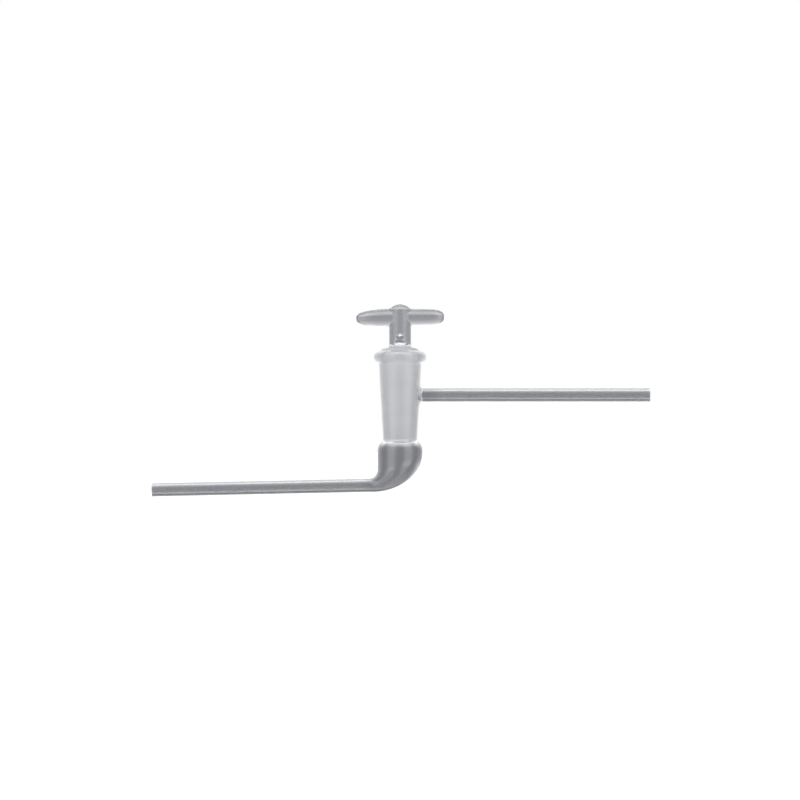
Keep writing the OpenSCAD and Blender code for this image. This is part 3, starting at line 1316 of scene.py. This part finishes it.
@dataclass(frozen=True)
class BorosilicateGlass:
    """Borosilicate glass, drawn or blown in the flame and left as it set, as on the inner walls.

    To the eye it is clear, with the long soft waves of glass that was worked hot.

    Attributes:
        name: the material's name.
        tint: colour of the light that goes in and out through it.
        roughness: how much the surface spreads what it reflects and lets through.
        through: share of the light that goes through.
        ior: the glass's index of refraction.
        wave: distance between the waves in its surface, in millimetres.
        wave_depth: their depth, in millimetres.
        wave_noise: detail and roughness of the noise that they are drawn with.
    """

    name: str
    tint: str = "#f2f3f5"
    roughness: float = 0.0
    through: float = 1.0
    ior: float = 1.474
    wave: float = 12.0
    wave_depth: float = 0.012
    wave_noise: Point = (1.0, 0.4)

    def material(self) -> bpy.types.Material:
        """Makes the material.

        Returns:
            The material.
        """
        material = bpy.data.materials.new(self.name)
        material.use_nodes = True
        tree = material.node_tree
        shader = tree.nodes["Principled BSDF"].inputs
        for label, value in (("Base Color", linear(self.tint)), ("Roughness", self.roughness),
                             ("IOR", self.ior), ("Transmission Weight", self.through)):
            shader[label].default_value = value
        place = add_node(tree, "ShaderNodeTexCoord", out="Object")
        waves = add_node(tree, "ShaderNodeTexNoise", {
            "Vector": place, "Scale": 1 / (self.wave * MM), "Detail": self.wave_noise[0],
            "Roughness": self.wave_noise[1]}, "Fac")
        bump = add_node(tree, "ShaderNodeBump", {
            "Height": waves, "Distance": self.wave_depth * MM, "Strength": 1.0}, "Normal")
        tree.links.new(bump, shader["Normal"])
        self.paint(tree, shader["Base Color"], place)
        return material

    def paint(self, tree: bpy.types.NodeTree, base: Socket, place: Socket) -> None:
        """Varies the colour over the surface. Here it is one tint all over, so nothing is added.

        Args:
            tree: the material's tree.
            base: the shader's colour.
            place: the place on the piece.
        """


@dataclass(frozen=True)
class BlownGlass(BorosilicateGlass):
    """The same glass on the outside, fire-polished.

    The glass is clear. Its grey cast is painted shade: the grey that clear glass shows of its surroundings,
    painted into its colour, with another grey painted near the plug's axis. Where the ground joint lies
    behind, down to the neck and out over the rim, a pale tint is painted light. It stands for the light
    that the matt scatters into the glass, and the painted cast is gone there.

    Attributes:
        axis_shade: painted shade, the grey tint near the plug's axis.
        pale: painted light, the tint in front of the ground joint.
        axis_shade_radius: distance from the plug's axis from which there is nothing of that painted shade,
            and distance up to which it is full.
        pale_from: height up to which there is nothing of the painted light at its foot, and height from
            which it is full.
        pale_to: the same at its top.
        pale_radius: the same for the distance from the plug's axis.
        rim_from: height up to which the rim's own distance doesn't count, and height from which it does.
        rim_radius: that distance from the plug's axis, which stands for pale_radius there.
    """

    # Painted shade: the grey cast, and another grey near the plug's axis. Painted light: the pale tint.
    tint: str = "#8f9092"
    axis_shade: str = "#828386"
    pale: str = "#f1f2f3"
    axis_shade_radius: Point = (26.0, 16.0)
    pale_from: Point = (-31.0, -26.0)
    pale_to: Point = (30.3, 29.3)
    pale_radius: Point = (14.2, 12.6)
    rim_from: Point = (10.0, 14.0)
    rim_radius: Point = (20.0, 13.0)

    def paint(self, tree: bpy.types.NodeTree, base: Socket, place: Socket) -> None:
        """Paints the grey cast of painted shade and the pale tint of painted light, by place.

        Args:
            tree: the material's tree.
            base: the shader's colour.
            place: the place on the piece.
        """
        height = add_node(tree, "ShaderNodeSeparateXYZ", {"Vector": place}, "Z")
        level = add_node(tree, "ShaderNodeVectorMath", {0: place, 1: (1.0, 1.0, 0.0)}, 0,
                         operation="MULTIPLY")
        radius = add_node(tree, "ShaderNodeVectorMath", {0: level}, "Value", operation="LENGTH")
        sources = {"axis_shade_radius": radius, "pale_from": height, "pale_to": height, "pale_radius": radius,
                   "rim_from": height, "rim_radius": radius}
        fades = {}
        for name, source in sources.items():
            none, full = getattr(self, name)
            fades[name] = add_node(tree, "ShaderNodeMapRange", {
                "Value": source, "From Min": none * MM, "From Max": full * MM}, "Result",
                interpolation_type="SMOOTHSTEP")
        # Where the pale painted light lies: in front of the ground joint, down to the neck and out over the
        # rim
        share = fades["rim_from"]
        for name, way in (("rim_radius", "MULTIPLY"), ("pale_radius", "MAXIMUM"), ("pale_from", "MULTIPLY"),
                          ("pale_to", "MULTIPLY")):
            share = add_node(tree, "ShaderNodeMath", {0: share, 1: fades[name]}, 0, operation=way)
        # Painted shade: the grey cast all over and another grey near the plug's axis, then the pale painted
        # light
        colour: Any = linear(self.tint)
        for much, over in ((fades["axis_shade_radius"], self.axis_shade), (share, self.pale)):
            colour = add_node(tree, "ShaderNodeMix", {0: much, 6: colour, 7: linear(over)}, 2,
                              data_type="RGBA")
        tree.links.new(colour, base)


@dataclass(frozen=True)
class GroundJointGlass(BorosilicateGlass):
    """The same glass ground to a taper with silicon carbide grit.

    To the eye it is an even pale matt that lets light through but no image, with very faint rings left by
    the grit as the cone turned on the grinding mandrel. Real rings and the grain of the matt are finer than
    can be seen, and both are drawn coarse enough to show.

    Attributes:
        ring: the darker colour in its rings.
        ring_step: distance between rings, in millimetres.
        ring_stretch: how closely the streaks follow each other along a ring and from ring to ring.
        ring_detail: how much finer streaks lie in the broad ones.
    """

    tint: str = "#f0f1f3"
    roughness: float = 0.6
    through: float = 0.25
    wave: float = 0.5
    wave_depth: float = 0.01
    wave_noise: Point = (2.0, 0.5)
    ring: str = "#e2e3e6"
    ring_step: float = 1.4
    ring_stretch: Triple = (0.06, 0.06, 1.0)
    ring_detail: float = 3.0

    def paint(self, tree: bpy.types.NodeTree, base: Socket, place: Socket) -> None:
        """Lays the rings over the surface.

        Args:
            tree: the material's tree.
            base: the shader's colour.
            place: the place on the piece.
        """
        rings = add_node(tree, "ShaderNodeMapping", {"Vector": place, "Scale": self.ring_stretch}, "Vector")
        streaks = add_node(tree, "ShaderNodeTexNoise", {
            "Vector": rings, "Scale": 1 / (self.ring_step * MM), "Detail": self.ring_detail}, "Fac")
        colour = add_node(tree, "ShaderNodeMix", {
            0: streaks, 6: linear(self.tint), 7: linear(self.ring)}, 2, data_type="RGBA")
        tree.links.new(colour, base)


# ---------------------------------------------------------------- the studio


@dataclass(frozen=True)
class Studio:
    """White light tent, floor and camera.

    Attributes:
        floor_z: height of the floor, under the hanging part, in millimetres.
        floor_size: half side of the floor, in metres.
        floor_colour: the floor's colour.
        floor_roughness: how matt the floor is.
        glow: what the floor adds to itself where it is seen, so that it meets the white room.
        ambient: plain light on matt surfaces, from straight below and from straight above.
        heights: the tent as glass shows it: height in degrees, brightness there, and how much of the
            brightness by bearing counts there.
        bearings: its brightness by bearing: degrees from +X towards +Y, and the share there.
        bounces: how often light may turn. A line of sight through the plug goes in and out of glass
            eight times.
        distance: distance of the camera, in metres.
        view_width: width of the view at the part, in millimetres.
        aim: the point at the middle of the view, in millimetres.
    """

    floor_z: float = -120.0
    floor_size: float = 6.0
    floor_colour: str = "#f2f2f2"
    floor_roughness: float = 0.9
    glow: float = 0.35
    ambient: Point = (0.5, 0.9)
    heights: tuple[Triple, ...] = (
        (-90, 0.8, 0), (-40, 0.4, 1), (-31, 0.6, 1), (-24, 1.3, 1), (-15, 1.6, 1), (-7, 1.0, 1), (8, 1.0, 1),
        (20, 1.3, 1), (30, 1.6, 1), (42, 2.0, 0.7), (60, 3.0, 0.3), (75, 4.5, 0), (90, 5.0, 0))
    bearings: tuple[Point, ...] = (
        (-180, 0.1), (-162, 1.0), (-150, 2.1), (-128, 2.1), (-102, 0.35), (-78, 0.35), (-52, 2.1), (-30, 2.1),
        (-18, 1.0), (0, 0.1), (45, 1.05), (135, 1.05), (180, 0.1))
    bounces: int = 24
    distance: float = 2.2
    view_width: float = 480.0
    aim: Triple = (-0.06, 0.0, -3.0)

    @staticmethod
    def set_stops(ramp: bpy.types.ColorRamp, stops: Sequence[Triple]) -> None:
        """Sets a ramp's stops.

        Args:
            ramp: the ramp.
            stops: the place, the grey and the alpha of each.
        """
        while len(ramp.elements) < len(stops):
            ramp.elements.new(1.0)
        for element, (place, grey, alpha) in zip(ramp.elements, stops):
            element.position = place
            element.color = (grey, grey, grey, alpha)

    @staticmethod
    def sight(tree: bpy.types.NodeTree) -> tuple[Socket, Socket]:
        """What looks at a surface or at the room.

        Args:
            tree: the tree that asks.

        Returns:
            1 where the camera does, and 1 where glass or gloss does.
        """
        path = add_node(tree, "ShaderNodeLightPath").outputs
        mirrored = add_node(tree, "ShaderNodeMath", {
            0: path["Is Glossy Ray"], 1: path["Is Transmission Ray"]}, 0, operation="MAXIMUM")
        return path["Is Camera Ray"], mirrored

    def _tent(self, tree: bpy.types.NodeTree, way: Socket, height: Socket) -> Socket:
        """The light tent's brightness.

        Args:
            tree: the world's tree.
            way: the direction that is looked in.
            height: its upward share.

        Returns:
            The brightness that way.
        """
        upward = add_node(tree, "ShaderNodeMath", {0: height, 1: 0.5, 2: 0.5}, 0, operation="MULTIPLY_ADD")
        bearing = add_node(tree, "ShaderNodeTexGradient", {"Vector": way}, "Fac", gradient_type="RADIAL")
        # A ramp holds shares of its brightest stop
        brightest = max(level for _, level, _ in self.heights)
        widest = max(share for _, share in self.bearings)
        by_height = add_node(tree, "ShaderNodeValToRGB", {"Fac": upward})
        self.set_stops(by_height.color_ramp, [
            ((math.sin(math.radians(h)) + 1) / 2, level / brightest, counts)
            for h, level, counts in self.heights])
        by_bearing = add_node(tree, "ShaderNodeValToRGB", {"Fac": bearing})
        self.set_stops(by_bearing.color_ramp, [
            ((b + 180) / 360, share / widest, 1) for b, share in self.bearings])
        share = add_node(tree, "ShaderNodeMix", {
            0: by_height.outputs["Alpha"], 2: 1 / widest, 3: by_bearing.outputs["Color"]}, 0)
        lit = add_node(tree, "ShaderNodeMath", {0: by_height.outputs["Color"], 1: share}, 0,
                       operation="MULTIPLY")
        return add_node(tree, "ShaderNodeMath", {0: lit, 1: brightest * widest}, 0, operation="MULTIPLY")

    def build_room(self) -> None:
        """Sets the world.

        It is a light tent where glass and gloss show it, plain white where the camera sees it, and plain soft
        light on matt surfaces.
        """
        world = bpy.data.worlds.new("light_tent")
        bpy.context.scene.world = world
        world.use_nodes = True
        tree = world.node_tree
        way = add_node(tree, "ShaderNodeTexCoord", out="Generated")
        height = add_node(tree, "ShaderNodeSeparateXYZ", {"Vector": way}, "Z")
        plain = add_node(tree, "ShaderNodeMapRange", {
            "Value": height, "From Min": -1.0, "To Min": self.ambient[0], "To Max": self.ambient[1]},
            "Result")
        seen, mirrored = self.sight(tree)
        tent = self._tent(tree, way, height)
        strength = add_node(tree, "ShaderNodeMix", {0: mirrored, 2: plain, 3: tent}, 0)
        strength = add_node(tree, "ShaderNodeMix", {0: seen, 2: strength, 3: 1.0}, 0)
        back = tree.nodes["Background"]
        back.inputs["Color"].default_value = linear("#ffffff")
        tree.links.new(strength, back.inputs["Strength"])

    def build_floor(self) -> None:
        """Adds the floor, white paper that glass and gloss look past at the tent."""
        half, z = self.floor_size, self.floor_z * MM
        mesh = bpy.data.meshes.new("floor")
        corners = [(-half, -half, z), (half, -half, z), (half, half, z), (-half, half, z)]
        mesh.from_pydata(corners, [], [(0, 1, 2, 3)])
        floor = bpy.data.objects.new("floor", mesh)
        bpy.context.scene.collection.objects.link(floor)
        material = bpy.data.materials.new("white_paper_floor")
        material.use_nodes = True
        tree = material.node_tree
        shader = tree.nodes["Principled BSDF"]
        for label, value in (("Base Color", linear(self.floor_colour)),
                             ("Roughness", self.floor_roughness), ("Emission Color", linear("#ffffff"))):
            shader.inputs[label].default_value = value
        seen, mirrored = self.sight(tree)
        glow = add_node(tree, "ShaderNodeMath", {0: seen, 1: self.glow}, 0, operation="MULTIPLY")
        tree.links.new(glow, shader.inputs["Emission Strength"])
        clear = add_node(tree, "ShaderNodeBsdfTransparent", out="BSDF")
        either = add_node(tree, "ShaderNodeMixShader", {
            0: mirrored, 1: shader.outputs["BSDF"], 2: clear}, "Shader")
        tree.links.new(either, tree.nodes["Material Output"].inputs["Surface"])
        mesh.materials.append(material)

    def build_camera(self) -> None:
        """Adds the camera, level with the part and square on to it."""
        data = bpy.data.cameras.new("camera")
        data.lens = data.sensor_width * self.distance / (self.view_width * MM)
        camera = bpy.data.objects.new("camera", data)
        camera.location = Vector(self.aim) * MM + Vector((0, -self.distance, 0))
        camera.rotation_euler = (math.pi / 2, 0, 0)
        bpy.context.scene.collection.objects.link(camera)
        bpy.context.scene.camera = camera

    def build(self) -> None:
        """Builds the room with everything in it."""
        self.build_room()
        self.build_floor()
        self.build_camera()
        scene = bpy.context.scene
        scene.view_settings.view_transform = "Standard"
        for limit in ("max_bounces", "transmission_bounces", "glossy_bounces"):
            setattr(scene.cycles, limit, self.bounces)


# ---------------------------------------------------------------- all of it


def main() -> None:
    """Builds the two pieces of glass and the studio."""
    logging.basicConfig(level=logging.INFO, format="%(name)s: %(message)s")
    loft = RingLoft()
    # The finishes of each part: its outer skin, with its painted shade and painted light, its ground joint
    # and its inner wall
    for part, finishes in (
            # Painted shade and painted light: the grey cast and the pale tint of the outer glass
            (Body(), (BlownGlass("fire_polished_borosilicate"),
                      GroundJointGlass("ground_borosilicate_bore"),
                      BorosilicateGlass("drawn_borosilicate_inner_wall"))),
            (Plug(), (BlownGlass("fire_polished_plug_glass", tint="#929397", axis_shade="#95969a",
                                 axis_shade_radius=(8.0, 5.0)),
                      GroundJointGlass("ground_borosilicate_cone"),
                      # Painted shade: the grey tint of the plug's hollow, for what clear glass shows of its
                      # surroundings
                      BorosilicateGlass("blown_borosilicate_plug_hollow", tint="#d2d3d6")))):
        part.dress(part.build(loft, [finish.material() for finish in finishes]))
    bpy.data.node_groups.remove(loft.tree)
    Studio().build()


if __name__ == "__main__":
    main()
